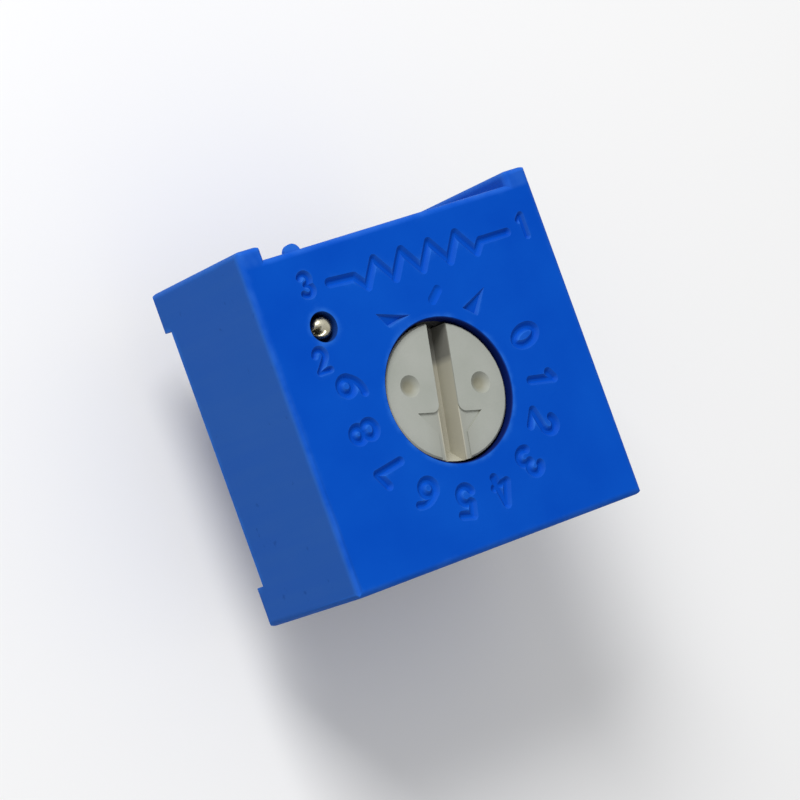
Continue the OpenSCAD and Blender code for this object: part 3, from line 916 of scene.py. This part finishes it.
def shorten_nub(form):
    """Keeps only the front of the nub beside the wire, a thin tab behind the face's edge."""
    nub = [vertex for vertex in form.verts
           if abs(vertex.co.x - wire_at.x) < NUB_REACH and vertex.co.y > sheltered_y - NUB_ROOT]
    front_z = max(vertex.co.z for vertex in nub)
    for vertex in nub:
        if vertex.co.z < front_z - NUB_LENGTH:
            vertex.co.z = front_z - NUB_LENGTH
    return len(nub)


def raise_back(form):
    """Sets the back deeper between its four corner feet."""
    level = [vertex for vertex in form.verts if abs(vertex.co.z - BACK_LEVEL) < SAME_LEVEL]
    for vertex in level:
        vertex.co.z += BACK_RAISED
    return len(level)


housing_form = solid_copy("housing")
print(shorten_nub(housing_form), "corners in the nub,", raise_back(housing_form), "on the back")

# %% Moulded housing
housing = link_form("moulded_housing", housing_form)
carve(housing, signs)
shade(housing, sharp_degrees=24)
seat(housing, blue, "housing", "case")

# %% [markdown]
# ## Rotor
# The real rotor's edges are softly rounded by its mould. The solid has its slot, dimples and arrow recess
# with crisp edges, so the copy gets a narrow rounded bevel on every edge above the flange. A Bevel modifier
# that goes by angle would round the hidden edges too, while bmesh takes only the edges it is given. The
# arrow on the real rotor is worn and barely shows, so what lies below its rounded lip is then drawn up
# towards the face.

# %% Softened rotor
SOFT_EDGE = 0.03
EDGE_ANGLE = math.radians(28)
RECESS_FROM = -0.25
RECESS_DEEPEST = 0.18
RECESS_KEEP = 0.25


def softened(form, above_z):
    edges = [edge for edge in form.edges
             if len(edge.link_faces) == 2 and edge.calc_face_angle() > EDGE_ANGLE
             and min(vertex.co.z for vertex in edge.verts) > above_z]
    bmesh.ops.bevel(form, geom=edges, offset=SOFT_EDGE, offset_type="OFFSET", segments=3, profile=0.5,
                    affect="EDGES", clamp_overlap=True)
    return len(edges)


def flatten_arrow(form):
    """Draws the floor of the arrow recess up, in the half of the rotor that it lies in."""
    turned = Matrix.Rotation(SLOT_TURN, 2)
    moved = 0
    for vertex in form.verts:
        below = rotor_top_z - SOFT_EDGE - vertex.co.z
        if (turned @ vertex.co.xy).y < RECESS_FROM and 0 < below < RECESS_DEEPEST - SOFT_EDGE:
            vertex.co.z += below * (1 - RECESS_KEEP)
            moved += 1
    return moved


rotor_form = solid_copy("rotor")
rounded = softened(rotor_form, seal_low_z)
drawn_up = flatten_arrow(rotor_form)
rotor = link_form("softened_rotor", rotor_form)
shade(rotor, sharp_degrees=60)
seat(rotor, pale, "rotor", "turning_rotor")
print(rounded, "edges rounded,", drawn_up, "corners drawn up")

# %% [markdown]
# ## Wire end
# The wire in the face was cropped, which leaves a low dome with a pinched cleft at one side and leans it a
# little. It could be sculpted, but a formula can be tuned by a few numbers. So the top of the wire's solid
# is cut off and closed again by rings that shrink to the middle. Their height follows a dome, less a dent
# that is deepest left of the middle.

# %% Cropped wire end
CROP = 0.22
CROP_LIFT = 0.17
CROP_RINGS = 9
CROP_LEAN = Vector((0.055, 0.01))
DENT_AT = Vector((-0.2, -0.07))
DENT_DEPTH = 0.34
DENT_LONG = 0.17
DENT_WIDE = 0.08
DENT_AT_RIM = 0.5


def crop_height(x, y):
    out = min(1.0, math.hypot(x, y) / wire_r)
    dome = CROP * math.sqrt(1 - out * out)
    along = (x - DENT_AT.x) / DENT_LONG
    across = (y - DENT_AT.y) / DENT_WIDE
    depth = DENT_DEPTH * (1 - (1 - DENT_AT_RIM) * out ** 4)
    return dome - depth * math.exp(-along * along - across * across)


def cropped_wire(node):
    form = solid_copy(node)
    base_z = wire_top_z - CROP
    everything = [*form.verts, *form.edges, *form.faces]
    bmesh.ops.bisect_plane(
        form, geom=everything, plane_co=(0, 0, base_z), plane_no=(0, 0, 1), clear_outer=True)
    rim = {vertex for edge in form.edges if edge.is_boundary for vertex in edge.verts}
    ring = sorted(rim, key=lambda vertex: math.atan2(vertex.co.y - wire_at.y, vertex.co.x - wire_at.x))
    spokes = [vertex.co.xy - wire_at for vertex in ring]
    for step in range(CROP_RINGS):
        share = math.cos(math.pi / 2 * step / CROP_RINGS)
        inner = []
        for place in (spoke * share for spoke in spokes):
            x, y = wire_at + CROP_LEAN + place
            inner.append(form.verts.new((x, y, base_z + CROP_LIFT + crop_height(*place))))
        for index in range(len(ring)):
            form.faces.new((ring[index - 1], ring[index], inner[index], inner[index - 1]))
        ring = inner
    form.faces.new(ring)
    bmesh.ops.recalc_face_normals(form, faces=form.faces)
    return form


wire_end = link_form("cropped_wire_3", cropped_wire("lead_3"))
shade(wire_end, sharp_degrees=70)
seat(wire_end, tinned, "lead_3", "case")

# %% [markdown]
# ## The other pieces
# The remaining solids have the right form already, so they keep their meshes and take their finishes.

# %% Finishes for the solids that stay
FINISHES = {
    "rotor_seal": rubber, "wiper_contact": spring, "element_base": alumina, "resistive_track": cermet,
    "collector_track": silver, "end_pad_1": silver, "end_pad_3": silver, "lead_1": tinned, "lead_2": tinned,
    "solder_1": solder, "solder_2": solder, "solder_3": solder, "back_seal": resin,
}
for node, material in FINISHES.items():
    nodes[node].data.materials.clear()
    nodes[node].data.materials.append(material)
print(len(FINISHES), "solids finished")

# %% [markdown]
# ## Floor
# The part stands on the tips of its three wires, on a pale plain floor. The camera and mirror-like
# surfaces see the floor nearly white. Soft light that bounces off it is taken down, so that the walls of
# the part stay in gentle shade.

# %% Floor
FLOOR_SIZE = 2.0
FLOOR_SEEN = (0.94, 0.94, 0.94, 1)
FLOOR_BOUNCE = (0.5, 0.5, 0.5, 1)


def seen_directly(tree):
    """1 for rays from the camera and for mirror-like and clear rays, 0 for soft light."""
    path = add(tree, "ShaderNodeLightPath").outputs
    mirror = reckon(tree, "MAXIMUM", path["Is Glossy Ray"], path["Is Transmission Ray"])
    return reckon(tree, "MAXIMUM", path["Is Camera Ray"], mirror)


bpy.ops.mesh.primitive_plane_add(size=FLOOR_SIZE, location=(0, 0, cad_box[0].z))
floor = bpy.context.object
floor.name = "floor"
floor_paint, floor_tree, floor_shader = start_finish("pale_floor", Roughness=0.9, Specular_IOR_Level=0.0)
floor_colour = blend(floor_tree, seen_directly(floor_tree), FLOOR_BOUNCE, FLOOR_SEEN)
floor_tree.links.new(floor_colour, floor_shader.inputs["Base Color"])
floor.data.materials.append(floor_paint)
print(f"floor at {cad_box[0].z / MM:.2f} mm")

# %% [markdown]
# ## Light
# A white surround and one soft lamp from the upper left. Together they give a level surface about the
# brightness at which a colour renders as it is written: SKY from all round, and the rest from the lamp. At
# a distance d, an area lamp of pi * pi * d * d watts does that alone for a surface that faces it.

# %% World and lamp
SKY = 0.53
LAMP_ON_LEVEL = 0.5
LAMP_WAY = Vector((-0.3, 0.7, 0.65)).normalized()
LAMP_FAR = 0.2
LAMP_SIZE = 0.085

world = bpy.data.worlds.new("surround")
bpy.context.scene.world = world
world.use_nodes = True
air = world.node_tree.nodes["Background"]
air.inputs["Color"].default_value = (1, 1, 1, 1)
direct = seen_directly(world.node_tree)
world.node_tree.links.new(remap(world.node_tree, direct, 0.0, 1.0, SKY, 1.0), air.inputs["Strength"])

lamp_data = bpy.data.lights.new("lamp", "AREA")
lamp_data.size = LAMP_SIZE
lamp_data.energy = LAMP_ON_LEVEL / LAMP_WAY.z * math.pi ** 2 * LAMP_FAR ** 2
lamp = bpy.data.objects.new("lamp", lamp_data)
lamp.location = LAMP_WAY * LAMP_FAR
lamp.rotation_mode = "QUATERNION"
lamp.rotation_quaternion = LAMP_WAY.to_track_quat("Z", "Y")
lamp.visible_camera = False
bpy.context.scene.collection.objects.link(lamp)
bpy.context.scene.view_settings.view_transform = "Standard"
print(f"lamp of {lamp_data.energy:.2f} W")

# %% [markdown]
# ## Camera
# The camera looks down at the face from the left, rolled a little, through a long lens. It has its place
# and its aim in the part's own millimetres, and an up direction that sets the roll. A Track To constraint
# would aim it as well, but takes the roll from the world's Z.

# %% Camera
CAMERA_AT = Vector((-53.126, -2.186, 81.723))
CAMERA_AIM = Vector((-0.005, 0.242, 2.4))
CAMERA_UP = Vector((0.26938, 0.94004, 0.20917))
LENS = 160.35
SENSOR = 36
NEAREST = 0.001
FARTHEST = 10

forward = (CAMERA_AIM - CAMERA_AT).normalized()
right = forward.cross(CAMERA_UP).normalized()
camera_data = bpy.data.cameras.new("camera")
camera_data.lens = LENS
camera_data.sensor_width = SENSOR
camera_data.sensor_fit = "HORIZONTAL"
camera_data.clip_start = NEAREST
camera_data.clip_end = FARTHEST
camera = bpy.data.objects.new("camera", camera_data)
axes = Matrix((right, right.cross(forward), -forward)).transposed()
camera.matrix_world = Matrix.Translation(CAMERA_AT * MM) @ axes.to_4x4()
bpy.context.scene.collection.objects.link(camera)
bpy.context.scene.camera = camera
print(f"camera {(CAMERA_AT - CAMERA_AIM).length:.0f} mm away, lens {LENS} mm")
